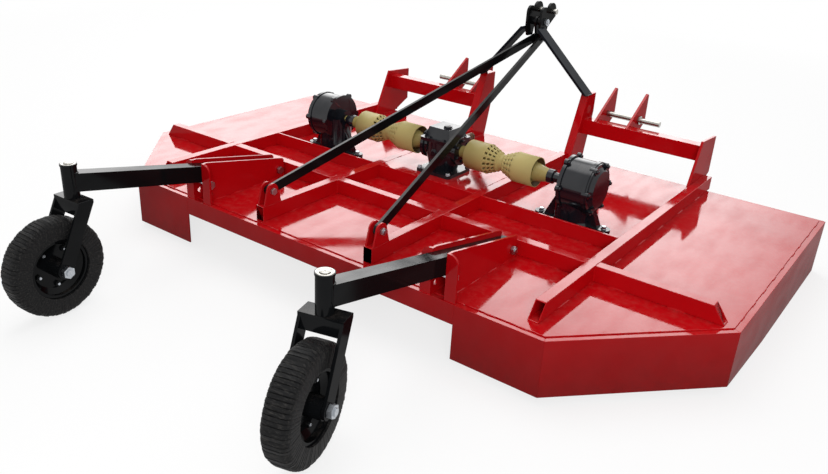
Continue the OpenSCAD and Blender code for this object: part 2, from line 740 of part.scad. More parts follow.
module stay_lugs() color(red) seat() both() for (k = [-1, 1]) difference() {
    side_plate(inner_rail_x + k * stay_lug_x - stay_lug_t / 2, stay_lug_t) {
        polygon([[stay_y - 1.5 * stay_lug_r, tube_top], [stay_y + 1.5 * stay_lug_r, tube_top],
            [stay_y + 0.93 * stay_lug_r, stay_z + stay_lug_r / 4],
            [stay_y - 0.93 * stay_lug_r, stay_z + stay_lug_r / 4]]);
        translate([stay_y, stay_z]) circle(stay_lug_r);
    }
    round_bar(0, half_w, stay_y, stay_z, stay_bolt_d + 2 * bolt_gap);
}

// A bolt along X with its head and nut outside the two outer faces
module cross_bolt(x0, x1, y, z, d) {
    head = bolt_head_h * d;
    round_bar(x0 - face_gap - head, x1 + bolt_past * d, y, z, d);
    for (x = [x0 - face_gap - head, x1 + face_gap]) translate([x, y, z]) rotate([0, 90, 0])
        cylinder(h = head, d = bolt_head_d * d, $fn = 6);
}

module stay_bolts() color(zinc) seat() {
    outer = stay_lug_x + stay_lug_t / 2;
    front = stay_front_x + stay_t * 0.85;
    both() cross_bolt(inner_rail_x - outer, inner_rail_x + outer, stay_y, stay_z, stay_bolt_d);
    cross_bolt(-front, front, tab_y, tab_z, stay_bolt_d);
    cross_bolt(-head_out, head_out, head_bolt_y, head_bolt_z, head_bolt_d);
}

// Two plates that hold a castor arm, with a row of height holes and their rear ends turned out as flanges
module castor_bracket() color(red) seat() difference() {
    front = arm_pivot_y + bracket_nose;
    crown = bracket_h - bracket_flange;
    for (k = [-1, 1]) translate([castor_x, 0, 0]) scale([k, 1, 1]) {
        side_plate(bracket_x, bracket_t)
            polygon([[bracket_y, 0], [lip_show, 0], [lip_show, sheet_t], [front, sheet_t],
                [front, bracket_front_h - bracket_t], [front - bracket_t, bracket_front_h],
                [bracket_y + 3 * bracket_t, bracket_h], [bracket_y, bracket_h]]);
        cross_plate(bracket_y, bracket_t) translate([bracket_x + bracket_t, 0]) {
            square([bracket_flange, crown]);
            square([past, bracket_h]);
            intersection() {
                translate([0, crown]) circle(bracket_flange);
                translate([0, crown]) square(bracket_flange);
            }
        }
    }
    for (hole = [[arm_pivot_y, arm_pivot_z], [support_y, support_z], [support_y, support_z - height_step]])
        round_bar(0, half_w, hole[0], hole[1], arm_bolt_d + 2 * bolt_gap);
}

module castor_bolts() color(zinc) seat() both() {
    w = bracket_x + bracket_t;
    cross_bolt(castor_x - w, castor_x + w, arm_pivot_y, arm_pivot_z, arm_bolt_d);
    cross_bolt(castor_x - w, castor_x + w, support_y, support_z, arm_bolt_d);
}

// Sloping box tube welded to the upright castor tube at its rear end, its nose cut level over the deck
module castor_arm() color(black) seat() difference() {
    union() {
        translate([castor_x, arm_pivot_y, arm_pivot_z]) rotate([-arm_slope, 0, 0])
            block([-arm_w / 2, -(castor_back + arm_pivot_y) / cos(arm_slope), -arm_h / 2],
                [arm_w / 2, arm_nose, arm_h / 2]);
        translate([castor_x, castor_y, castor_low]) cylinder(h = castor_top - castor_low, d = castor_tube_d);
    }
    translate([castor_x, castor_y, 0]) cylinder(h = castor_top + past, d = stem_d + 2 * run_gap);
    round_bar(0, half_w, arm_pivot_y, arm_pivot_z, arm_bolt_d + 2 * bolt_gap);
    block([castor_x - arm_w, arm_pivot_y - 2 * arm_nose, -deck_h],
        [castor_x + arm_w, arm_pivot_y + 2 * arm_nose, sheet_t + 2 * past]);
}

module castor(side) translate([side * castor_x, castor_y, 0])
    rotate([0, 0, side > 0 ? swivel_right : swivel_left]) children();

// Stem with its cap, over a top plate, a cross plate and two straight legs that lead back to the axle
module castor_fork(side) color(black) seat() castor(side) {
    inner = fork_in + past;
    stem_top = castor_top + face_gap;
    translate([0, 0, fork_top - past]) cylinder(h = stem_top - fork_top + past, d = stem_d);
    translate([0, 0, stem_top]) cylinder(h = cap_h, d = castor_tube_d + cap_h / 2);
    block([-inner, -fork_rear, fork_top - fork_plate], [inner, fork_front, fork_top]);
    block([-inner, -fork_rear, fork_top - fork_cross_h], [inner, fork_cross_t - fork_rear, fork_top - past]);
    for (k = [-1, 1]) scale([k, 1, 1]) difference() {
        side_plate(fork_in, fork_t) {
            polygon([[fork_front, fork_top], [fork_front, fork_top - fork_plate], [eye_r - trail, axle_z],
                [-trail - eye_r, axle_z], [-fork_rear, fork_top - fork_plate], [-fork_rear, fork_top]]);
            translate([-trail, axle_z]) circle(eye_r);
        }
        round_bar(0, fork_w, -trail, axle_z, axle_d + 2 * bolt_gap);
    }
}

module axle(side) color(zinc) seat() castor(side) cross_bolt(-fork_w / 2, fork_w / 2, -trail, axle_z, axle_d);

// A solid of revolution about the axle
module on_axle() translate([0, -trail, axle_z]) rotate([0, 90, 0]) children();

// Barrel with thickened edges, a dished disc with bolts through it, and a long hub
module wheel_rim(side) color(black) seat() castor(side) on_axle() difference() {
    hub = fork_in - face_gap;
    half = tyre_w / 2 - rim_wall;
    bore_r = rim_r - rim_wall;
    union() {
        translate([0, 0, -hub]) cylinder(h = 2 * hub, d = wheel_hub_d);
        rotate_extrude() {
            translate([bore_r, -half]) square([rim_wall, 2 * half]);
            for (k = [-1, 1]) translate([bore_r - rim_wall / 2, k * (half - rim_wall / 2) - rim_wall / 2])
                square([rim_wall, rim_wall]);
            polygon([[wheel_hub_d / 2 - past, -rim_wall], [wheel_bolt_r + wheel_bolt_d, -rim_wall],
                [bore_r + past, rim_wall], [bore_r + past, 2 * rim_wall],
                [wheel_bolt_r + wheel_bolt_d, 0], [wheel_hub_d / 2 - past, 0]]);
        }
        for (a = [0 : 72 : 288]) rotate([0, 0, a]) translate([wheel_bolt_r, 0, -2 * rim_wall])
            cylinder(h = 3 * rim_wall, d = bolt_head_d * wheel_bolt_d, $fn = 6);
    }
    translate([0, 0, -hub - past]) cylinder(h = 2 * (hub + past), d = axle_d + 2 * run_gap);
}

module tyre(side) color("#1b1b1c") seat() castor(side) on_axle() rotate_extrude() {
    inner = rim_r + loose_gap;
    translate([inner, -tyre_w / 2]) square([tyre_r - inner - shoulder, tyre_w]);
    translate([inner, -tyre_w / 2 + shoulder]) square([tyre_r - inner, tyre_w - 2 * shoulder]);
    for (k = [-1, 1]) translate([tyre_r - shoulder, k * (tyre_w / 2 - shoulder)]) circle(shoulder);
}

module input_shaft() color(zinc) seat() {
    collar = drive_y + front_boss + face_gap;
    front_bar(drive_y + shaft_seat, input_end, shaft_d);
    front_bar(collar, collar + collar_step, shaft_d + 2 * collar_step);
}

// Half of a universal joint along X: a collar at x0 and a cone, then two ears that pass the joint at x1
module yoke(x0, x1) {
    reach = x1 - x0;
    cone_end = reach - cross_d;
    translate([x0, 0, 0]) {
        round_bar(0, yoke_collar_l, 0, 0, yoke_collar_d);
        rotate([0, 90, 0]) translate([0, 0, yoke_collar_l - past])
            cylinder(h = cone_end - yoke_collar_l + past, d1 = yoke_collar_d, d2 = 2 * ear_r);
        yoke_ears(cone_end - past, reach + cross_d * 0.65);
    }
}

// A pair of ears along X, one on each side of the joint
module yoke_ears(x0, x1) for (k = [-1, 1]) scale([1, k, 1])
    block([x0, ear_r * 0.7, -ear_w / 2], [x1, ear_r, ear_w / 2]);

// Two outer yokes, two joint crosses and the tube between the inner yokes, all in line
module drive_shaft() color(khaki) seat() translate([0, drive_y, drive_z]) {
    plate = 0.8 * cross_d;
    round_bar(centre_boss - shaft_seat, yoke_start + past, 0, 0, shaft_d);
    yoke(yoke_start, joint_in);
    translate([yoke_end, 0, 0]) scale([-1, 1, 1]) yoke(0, yoke_end - joint_out);
    round_bar(yoke_end - past, rotor_x - 3 * past, 0, 0, shaft_d);
    for (end = [[joint_in, 1], [joint_out, -1]]) translate([end[0], 0, 0]) scale([end[1], 1, 1]) {
        for (a = [0, 90]) rotate([a, 0, 0]) cylinder(h = 2 * ear_r, d = cross_d, center = true);
        rotate([90, 0, 0]) yoke_ears(-cross_d * 0.65, ear_r);
        round_bar(ear_r - plate / 2, ear_r + plate / 2, 0, 0, 2.2 * ear_r);
    }
    round_bar(joint_in + ear_r, joint_out - ear_r, 0, 0, tube_d);
}

// Points down a guard's taper from radius r0 to r1, with rings that stand out between them
function ringed(r0, r1, x0, x1) = [for (i = [0 : 2 * ring_count])
    let (share = i / (2 * ring_count)) [r0 + (r1 - r0) * share + ring_h * (i % 2), x0 + (x1 - x0) * share]];

// Plastic guard: two plain bells and two ringed tapers that meet in a waist, which runs on the shaft tube
module shaft_guard() color(khaki) seat() translate([0, drive_y, drive_z]) rotate([0, 90, 0]) rotate_extrude() {
    mid = (guard_in + guard_out) / 2;
    bell = bell_d / 2;
    waist = waist_d / 2;
    bearing = tube_d / 2 + loose_gap;
    skin = concat([[bell, guard_in]],
        ringed(bell, waist, guard_in + bell_l, mid - waist_l / 2),
        ringed(waist, bell, mid + waist_l / 2, guard_out - bell_l), [[bell, guard_out]]);
    polygon(concat(skin, [for (i = [len(skin) - 1 : -1 : 0]) skin[i] - [guard_wall, 0]]));
    translate([bearing, mid - waist_l / 2]) square([waist - bearing, waist_l]);
}

module rotor_place(side) translate([side * rotor_x, drive_y, 0]) rotate([0, 0, rotor_angle]) children();

// Shaft and hub over the carrier bar, with a blade pin at each end
module rotor(side) color(black) seat() rotor_place(side) {
    carrier_top = carrier_z + carrier_t;
    pin_low = blade_low - face_gap - pin_head;
    translate([0, 0, carrier_top - past]) cylinder(h = rotor_top - carrier_top + past, d = rotor_shaft_d);
    translate([0, 0, carrier_top - past]) cylinder(h = hub_h, d = hub_d);
    block([-blade_pivot_r, -carrier_w / 2 + past, carrier_z],
        [blade_pivot_r, carrier_w / 2 - past, carrier_top]);
    for (k = [-1, 1]) translate([k * blade_pivot_r, 0, 0]) {
        translate([0, 0, carrier_z]) cylinder(h = carrier_t, d = carrier_w);
        translate([0, 0, pin_low]) cylinder(h = carrier_top + pin_head / 2 - pin_low, d = blade_pin_d);
        translate([0, 0, pin_low]) cylinder(h = pin_head, d = blade_pin_d + 2 * pin_head);
    }
}

// Flat bar blade that swings on its pin, with a lifting wing turned up along its trailing edge
module blade(side, k) color("#55575a") seat() rotor_place(side) translate([k * blade_pivot_r, 0, blade_low])
    scale([k, k, 1]) difference() {
        tip = blade_tip_r - blade_pivot_r - blade_t;
        edge = -blade_w / 2;
        union() {
            cylinder(h = blade_t, d = blade_w);
            block([0, edge + past, 0], [tip, -edge - past, blade_t]);
            side_plate(wing_start, tip - wing_start)
                polygon([[edge + past, 0], [edge + past + blade_t, blade_t],
                    [edge + blade_t - wing_h, wing_h + blade_t], [edge - wing_h / 2, wing_h + blade_t / 2]]);
        }
        translate([0, 0, -past]) cylinder(h = blade_t + 2 * past, d = blade_pin_d + 2 * run_gap);
    }

deck_sheet();
left() side_skirt();  // side_skirt_left
side_skirt();  // side_skirt_right
left() corner_skirt();  // corner_skirt_left
corner_skirt();  // corner_skirt_right
left() rear_skirt();  // rear_skirt_left
rear_skirt();  // rear_skirt_right
rear_band();
front_band();
left() outer_rail();  // outer_rail_left
outer_rail();  // outer_rail_right
left() inner_rail();  // inner_rail_left
inner_rail();  // inner_rail_right
rear_cross_tubes();
front_cross_bars();
gearbox_platform();
centre_gearbox();
left() side_gearbox();  // side_gearbox_left
side_gearbox();  // side_gearbox_right
left() inner_upright();  // inner_upright_left
inner_upright();  // inner_upright_right
left() outer_upright();  // outer_upright_left
outer_upright();  // outer_upright_right
left() hitch_beam();  // hitch_beam_left
hitch_beam();  // hitch_beam_right
hitch_lugs();
lower_link_pins();
left() mast_leg();  // mast_leg_left
mast_leg();  // mast_leg_right
mast_head();
stay_tab();
top_link_pin();
left() stay();  // stay_left
stay();  // stay_right
stay_lugs();
stay_bolts();
left() castor_bracket();  // castor_bracket_left
castor_bracket();  // castor_bracket_right
castor_bolts();
left() castor_arm();  // castor_arm_left
castor_arm();  // castor_arm_right
castor_fork(-1);  // castor_fork_left
castor_fork(1);  // castor_fork_right
axle(-1);  // axle_left
axle(1);  // axle_right
wheel_rim(-1);  // wheel_rim_left
wheel_rim(1);  // wheel_rim_right
tyre(-1);  // tyre_left
tyre(1);  // tyre_right
input_shaft();
left() drive_shaft();  // drive_shaft_left
drive_shaft();  // drive_shaft_right
left() shaft_guard();  // shaft_guard_left
shaft_guard();  // shaft_guard_right
rotor(-1);  // rotor_left
rotor(1);  // rotor_right
blade(-1, 1);  // blade_left_a
blade(-1, -1);  // blade_left_b
blade(1, 1);  // blade_right_a
blade(1, -1);  // blade_right_b
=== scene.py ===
import json
import math
import random

import bmesh
import bpy
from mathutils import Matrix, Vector


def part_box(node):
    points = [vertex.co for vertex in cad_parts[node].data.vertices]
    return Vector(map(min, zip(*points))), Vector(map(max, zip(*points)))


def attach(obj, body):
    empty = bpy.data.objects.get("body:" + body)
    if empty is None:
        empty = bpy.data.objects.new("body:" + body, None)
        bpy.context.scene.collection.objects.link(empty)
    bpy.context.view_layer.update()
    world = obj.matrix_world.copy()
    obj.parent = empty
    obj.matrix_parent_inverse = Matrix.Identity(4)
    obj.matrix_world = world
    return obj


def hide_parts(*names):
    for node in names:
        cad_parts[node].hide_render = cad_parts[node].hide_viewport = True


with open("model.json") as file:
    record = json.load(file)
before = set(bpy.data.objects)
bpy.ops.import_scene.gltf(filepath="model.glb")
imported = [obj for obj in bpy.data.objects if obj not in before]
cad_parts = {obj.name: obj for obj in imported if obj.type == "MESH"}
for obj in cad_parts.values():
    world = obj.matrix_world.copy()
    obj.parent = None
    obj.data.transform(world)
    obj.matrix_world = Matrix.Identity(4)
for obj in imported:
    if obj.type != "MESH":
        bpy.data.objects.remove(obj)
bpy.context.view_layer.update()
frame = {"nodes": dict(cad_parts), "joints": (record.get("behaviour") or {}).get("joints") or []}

# Deck: one flat steel sheet lying on the turned-in lips of the folded skirts.
# Everything is mild steel plate, welded up first and then sprayed with gloss red enamel,
# which stays wet-looking and mirrors what stands on it, a little wavy where the plate is.
nodes = frame["nodes"]
SIDES = ("left", "right")
UP = Vector((0, 0, 1))
mm = 0.001


def linear(hex_colour):
    """An sRGB hex colour as linear red, green, blue and alpha."""
    parts = [int(hex_colour[i:i + 2], 16) / 255 for i in (1, 3, 5)]
    return [c / 12.92 if c <= 0.04045 else ((c + 0.055) / 1.055) ** 2.4 for c in parts] + [1]


def add(tree, kind, inputs, **settings):
    """Adds one shader or geometry node: each input is a value, or the output that is linked to it."""
    node = tree.nodes.new(tree.bl_idname.removesuffix("Tree") + kind)
    for name, value in settings.items():
        setattr(node, name, value)
    for socket, value in inputs.items():
        if isinstance(value, bpy.types.NodeSocket):
            tree.links.new(value, node.inputs[socket])
        else:
            node.inputs[socket].default_value = value
    return node.outputs


def blank(name):
    """A new material with an empty node tree, and that tree."""
    material = bpy.data.materials.new(name)
    material.use_nodes = True
    material.node_tree.nodes.clear()
    return material, material.node_tree


corner_low, corner_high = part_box("corner_skirt_right")
cloud_size, speck_size, swell_size = 260 * mm, 34 * mm, 310 * mm
streak_size = (60 * mm, 170 * mm, 75 * mm)
# The near-black red-brown here is painted shade, laid on the skirts low down.
dust_colour, low_shade_colour, dust_cover, skirt_rim = "#b9a79a", "#2c1510", 0.055, 1 * mm


def enamel(name, colour, pooled, gloss, coat, upright, buckle, grain, depth, low_shade=0.0):
    """Sprayed or moulded gloss skin: a colour that pools darker in broad clouds, painted shade low on the skirts
    that darkens towards the bottom, wiping streaks and specks of dust that take the shine off, a clear coat of which
    upright faces keep only a share, a grain drawn coarser than the real one so that it shows, and plate that buckles
    under it."""
    material, tree = blank(name)
    place = add(tree, "TexCoord", {})["Object"]
    clouds = add(tree, "TexNoise", {"Vector": place, "Scale": 1 / cloud_size, "Detail": 3})[0]
    specks = add(tree, "TexNoise", {"Vector": place, "Scale": 1 / speck_size, "Detail": 5, "Roughness": 0.65})[0]
    drawn = add(tree, "Mapping", {"Vector": place, "Scale": [1 / size for size in streak_size]})[0]
    streaks = add(tree, "TexNoise", {"Vector": drawn, "Scale": 1, "Detail": 4})[0]
    skin = add(tree, "TexNoise", {"Vector": place, "Scale": 1 / (grain * mm), "Detail": 2})[0]
    swell = add(tree, "TexNoise", {"Vector": place, "Scale": 1 / swell_size, "Detail": 1})[0]
    body = add(tree, "MixRGB", {"Fac": clouds, "Color1": linear(colour), "Color2": linear(pooled)})[0]
    facing = add(tree, "NewGeometry", {})["Normal"]
    upward = add(tree, "SeparateXYZ", {"Vector": facing})["Z"]
    level = add(tree, "MapRange", {"Value": upward, "From Min": 0.7, "From Max": 1, "To Max": dust_cover})[0]
    settled = add(tree, "MapRange", {"Value": specks, "From Min": 0.45, "From Max": 0.75})[0]
    dust = add(tree, "Math", {0: level, 1: settled}, operation="MULTIPLY")[0]
    dusty = add(tree, "MixRGB", {"Fac": dust, "Color1": body, "Color2": linear(dust_colour)})[0]
    # Painted shade: the skirts grow darker towards the bottom, in uneven patches.
    height = add(tree, "SeparateXYZ", {"Vector": place})["Z"]
    low_shade_ramp = add(tree, "MapRange", {"Value": height, "From Min": corner_low.z, "From Max": corner_high.z,
                                      "To Min": low_shade, "To Max": 0.2 * low_shade})[0]
    patchy = add(tree, "MapRange", {"Value": specks, "From Min": 0.3, "From Max": 0.7,
                                    "To Min": 0.8, "To Max": 1.1})[0]
    patchy_low_shade = add(tree, "Math", {0: low_shade_ramp, 1: patchy}, operation="MULTIPLY")[0]
    on_skirts = add(tree, "Math", {0: height, 1: corner_high.z - skirt_rim}, operation="LESS_THAN")[0]
    painted_low_shade = add(tree, "Math", {0: patchy_low_shade, 1: on_skirts}, operation="MULTIPLY")[0]
    tint = add(tree, "MixRGB", {"Fac": painted_low_shade, "Color1": dusty, "Color2": linear(low_shade_colour)})[0]
    wiped = add(tree, "MapRange", {"Value": streaks, "From Min": 0.35, "From Max": 0.75,
                                   "To Min": gloss, "To Max": gloss + 0.06})[0]
    rough = add(tree, "Math", {0: dust, 1: 0.6, 2: wiped}, operation="MULTIPLY_ADD")[0]
    flowed = add(tree, "MapRange", {"Value": upward, "From Min": 0.5, "From Max": 1,
                                    "To Min": upright * coat, "To Max": coat})[0]
    smears = add(tree, "MapRange", {"Value": streaks, "From Min": 0.4, "From Max": 0.7,
                                    "To Min": 1, "To Max": 0.8})[0]
    smeared = add(tree, "Math", {0: flowed, 1: smears}, operation="MULTIPLY")[0]
    fine = add(tree, "Bump", {"Height": skin, "Strength": 1, "Distance": depth * mm})[0]
    wavy = add(tree, "Bump", {"Height": swell, "Strength": 1, "Distance": buckle * mm, "Normal": fine})[0]
    paint = add(tree, "BsdfPrincipled", {"Base Color": tint, "Roughness": 0.6, "Specular IOR Level": 0.0,
                                         "Normal": wavy, "Coat Normal": wavy,
                                         "Coat Weight": smeared, "Coat Roughness": rough})[0]
    add(tree, "OutputMaterial", {"Surface": paint})
    return material


def dress(material, *names):
    """Gives CAD nodes a finish."""
    for name in names:
        for slot in nodes[name].material_slots:
            slot.material = material


smoothed = bpy.data.node_groups.new("smoothed", "GeometryNodeTree")
for way in ("INPUT", "OUTPUT"):
    smoothed.interface.new_socket("Geometry", in_out=way, socket_type="NodeSocketGeometry")
given = smoothed.nodes.new("NodeGroupInput").outputs[0]
even = add(smoothed, "SetMeshNormal", {"Mesh": given, "Remove Custom": True}, mode="SHARPNESS")[0]
smoothed.links.new(even, smoothed.nodes.new("NodeGroupOutput").inputs[0])


def break_edges(solid, radius):
    """Rounds the sharp edges of an object a little, as rolling, folding or a grinder leaves them."""
    broken = solid.modifiers.new("broken", "BEVEL")
    broken.width = radius
    broken.segments = 2
    broken.limit_method = "ANGLE"
    broken.angle_limit = math.radians(32)
    broken.harden_normals = True


def ease(radius, *names):
    """Smooths CAD nodes and breaks their edges, all by modifiers, so that their meshes stay as they are."""
    for name in names:
        solid = nodes[name]
        solid.modifiers.new("smoothed", "NODES").node_group = smoothed
        joined = solid.modifiers.new("joined", "WELD")
        joined.merge_threshold = 0.01 * mm
        flat = solid.modifiers.new("flat", "DECIMATE")
        flat.decimate_type = "DISSOLVE"
        flat.angle_limit = math.radians(0.5)
        break_edges(solid, radius)


def pairs(*stems):
    """The left and right node of each stem."""
    return [f"{stem}_{side}" for stem in stems for side in SIDES]


# The red enamel carries painted shade low on the skirts.
red_enamel = enamel("red_enamel", "#bd0a12", "#a8080f", gloss=0.05, coat=0.95, upright=0.25,
                    buckle=0.5, grain=6, depth=0.006, low_shade=0.48)
deck_nodes = ["deck_sheet", "rear_band", "front_band", *pairs("side_skirt", "corner_skirt", "rear_skirt")]
dress(red_enamel, *deck_nodes)
ease(1.2 * mm, *deck_nodes)

# Seam of the deck: short stitch welds between the edge of the sheet and the lips under it.
# Hand-laid steel beads, rippled and a little uneven, sprayed over with the same enamel.
rng = random.Random(7)
sheet_low, sheet_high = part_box("deck_sheet")
sheet_top = sheet_high.z
lip_show = corner_high.x - sheet_high.x


def skin(bm, rings, caps=True):
    """Quads from each ring of vertices to the next, and a face over both ends."""
    for ring, following in zip(rings, rings[1:]):
        for i, vertex in enumerate(ring):
            j = (i + 1) % len(ring)
            bm.faces.new((vertex, ring[j], following[j], following[i]))
    if caps:
        bm.faces.new(rings[0][::-1])
        bm.faces.new(rings[-1])


def circle(bm, centre, axis, radius, count):
    """A ring of vertices about an axis."""
    side = axis.orthogonal().normalized()
    up = axis.cross(side).normalized()
    angles = [math.tau * i / count for i in range(count)]
    return [bm.verts.new(centre + (side * math.cos(a) + up * math.sin(a)) * radius) for a in angles]


def piece(name, bm, material, body, crease=40):
    """Turns a finished bmesh into an object that rides on a body; edges over crease degrees stay sharp."""
    mesh = bpy.data.meshes.new(name)
    bmesh.ops.recalc_face_normals(bm, faces=bm.faces)
    bm.to_mesh(mesh)
    bm.free()
    mesh.materials.append(material)
    mesh.shade_smooth()
    mesh.set_sharp_from_angle(angle=math.radians(crease))
    made = bpy.data.objects.new(name, mesh)
    bpy.context.scene.collection.objects.link(made)
    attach(made, body)
    return made


def bead(bm, points, leg):
    """A weld along a path: overlapping ripples that thin out at both ends."""
    lengths = [(b - a).length for a, b in zip(points, points[1:])]
    total = sum(lengths)
    steps = max(5, int(total / (0.8 * leg)))
    rings = []
    for i in range(steps + 1):
        reach = total * i / steps
        at = 0
        while at < len(lengths) - 1 and reach > lengths[at]:
            reach -= lengths[at]
            at += 1
        along = (points[at + 1] - points[at]).normalized()
        ends = min(1, 0.4 + 3 * i / steps, 0.4 + 3 * (steps - i) / steps)
        radius = leg * ends * (0.72 + 0.2 * (i % 2)) * rng.uniform(0.9, 1.1)
        rings.append(circle(bm, points[at] + along * reach, along, radius, 8))
    skin(bm, rings)


def stitches(bm, start, end, length, pitch, leg):
    """A row of short beads between two points."""
    along = (end - start).normalized()
    count = max(1, int((end - start).length / pitch))
    spare = (end - start).length / count
    for i in range(count):
        first = start + along * (spare * (i + 0.5) - length / 2 + rng.uniform(-0.1, 0.1) * pitch)
        bead(bm, [first, first + along * length * rng.uniform(0.8, 1.15)], leg)


corner_angle = math.atan2(corner_high.y - corner_low.y, corner_high.x - corner_low.x)
rear_x = corner_low.x - lip_show * math.tan(corner_angle / 2)
side_y = corner_high.y + lip_show * math.tan(math.pi / 4 - corner_angle / 2)
seam_z = sheet_top - 2.5 * mm
rim = [Vector((-rear_x, sheet_low.y, seam_z)), Vector((rear_x, sheet_low.y, seam_z)),
       Vector((sheet_high.x, side_y, seam_z)), Vector((sheet_high.x, sheet_high.y, seam_z)),
       Vector((-sheet_high.x, sheet_high.y, seam_z)), Vector((-sheet_high.x, side_y, seam_z))]
seam = bmesh.new()
for start, end in zip(rim, rim[1:] + rim[:1]):
    stitches(seam, start, end, length=46 * mm, pitch=118 * mm, leg=3.2 * mm)
piece("deck_seam_welds", seam, red_enamel, "chassis")

# Frame on the deck: four rails and a cut cross tube of rectangular hollow section, two flat bars and the
# bent gearbox platform. Cold-formed tube has rounded corners; every joint is fillet welded.
tube_nodes = ["rear_cross_tubes", *pairs("outer_rail", "inner_rail")]
plate_nodes = ["front_cross_bars", "gearbox_platform"]
dress(red_enamel, *tube_nodes, *plate_nodes)
ease(3.5 * mm, *tube_nodes)
ease(1.5 * mm, *plate_nodes)


def upright_bead(bm, x, y, low_z, high_z, leg):
    """A bead that climbs a corner."""
    bead(bm, [Vector((x, y, low_z)), Vector((x, y, high_z))], leg)


frame_welds = bmesh.new()
cross_low, cross_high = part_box("rear_cross_tubes")
bars_low, bars_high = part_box("front_cross_bars")
inner_low, inner_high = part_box("inner_rail_right")
outer_low, outer_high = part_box("outer_rail_right")
tube_top = inner_high.z
rail_clear, corner_clear, sunk_weld = 60 * mm, 3 * mm, 1 * mm
mid_gap, end_gap = 20 * mm, 50 * mm
for low, high in [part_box(name) for name in pairs("outer_rail", "inner_rail")]:
    for x in (low.x, high.x):
        stitches(frame_welds, Vector((x, low.y + rail_clear, sheet_top)),
                 Vector((x, high.y - rail_clear, sheet_top)), length=70 * mm, pitch=210 * mm, leg=4 * mm)
        for y in (cross_low.y, cross_high.y):
            upright_bead(frame_welds, x, y, sheet_top, tube_top - corner_clear, leg=4 * mm)
        bead(frame_welds, [Vector((x, cross_low.y + corner_clear, tube_top - sunk_weld)),
                           Vector((x, cross_high.y - corner_clear, tube_top - sunk_weld))], leg=3 * mm)
for sign in (-1, 1):
    for y in (cross_low.y, cross_high.y):
        for near, far in ((mid_gap, inner_low.x), (inner_high.x, outer_low.x), (outer_high.x, cross_high.x)):
            stitches(frame_welds, Vector((sign * near, y, sheet_top)),
                     Vector((sign * (far - end_gap), y, sheet_top)), length=60 * mm, pitch=170 * mm, leg=4 * mm)
    for x in (inner_high.x, outer_low.x):
        for y in (bars_low.y, bars_high.y):
            upright_bead(frame_welds, sign * x, y, sheet_top, bars_high.z - 4 * mm, leg=3.5 * mm)
    for y in (bars_low.y, bars_high.y):
        stitches(frame_welds, Vector((sign * inner_high.x, y, sheet_top)),
                 Vector((sign * outer_low.x, y, sheet_top)), length=60 * mm, pitch=160 * mm, leg=3.5 * mm)
platform_low, platform_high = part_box("gearbox_platform")
for x in (platform_low.x, platform_high.x):
    stitches(frame_welds, Vector((x, platform_low.y, tube_top - sunk_weld)),
             Vector((x, platform_high.y, tube_top - sunk_weld)), length=50 * mm, pitch=90 * mm, leg=3 * mm)
piece("frame_welds", frame_welds, red_enamel, "chassis")

# Gearboxes: cast-iron housings, fettled and painted gloss black, bolted to the platform and to the deck.
# The sand-cast skin shows as a soft grain under the paint; foot bolts are bright zinc, a little clouded, and
# the cover bolts and plugs are painted over with the housings.
# Gloss black paint; its faint blue tint is a painted reflection of the sky.
cast_enamel = enamel("cast_iron_enamel", "#15181f", "#0e1015", gloss=0.1, coat=1.0, upright=1.0,
                     buckle=0.0, grain=5, depth=0.04)
dress(cast_enamel, "centre_gearbox", *pairs("side_gearbox"))
ease(3 * mm, "centre_gearbox", *pairs("side_gearbox"))


def lathe(bm, base, axis, profile, count=24):
    """A turned form: rings given as radius and rise along the axis, closed at both ends."""
    skin(bm, [circle(bm, base + axis * rise, axis, radius, count) for radius, rise in profile])


def hex_head(bm, base, axis, flats, height):
    """A washer with a chamfered hexagon head on it, standing on base."""
    thin, wide = 0.18 * height, 0.66 * flats
    corner = flats / math.sqrt(3)
    lathe(bm, base, axis, [(wide, 0), (wide, 0.7 * thin), (0.94 * wide, thin)], 20)
    lathe(bm, base, axis, [(corner, 0.5 * thin), (corner, 0.82 * height), (0.84 * corner, height)], 6)


def metal(name, colour, shade, rough, grain):
    """Bare or plated steel: bright, with a fine clouding of the surface and slightly duller patches."""
    material, tree = blank(name)
    place = add(tree, "TexCoord", {})["Object"]
    clouds = add(tree, "TexNoise", {"Vector": place, "Scale": 1 / (grain * mm), "Detail": 5})[0]
    tint = add(tree, "MixRGB", {"Fac": clouds, "Color1": linear(colour), "Color2": linear(shade)})[0]
    dull = add(tree, "MapRange", {"Value": clouds, "To Min": rough - 0.08, "To Max": rough + 0.14})[0]
    bump = add(tree, "Bump", {"Height": clouds, "Strength": 1, "Distance": 0.04 * mm})[0]
    steel = add(tree, "BsdfPrincipled", {"Base Color": tint, "Roughness": dull, "Normal": bump, "Metallic": 1.0})[0]
    add(tree, "OutputMaterial", {"Surface": steel})
    return material


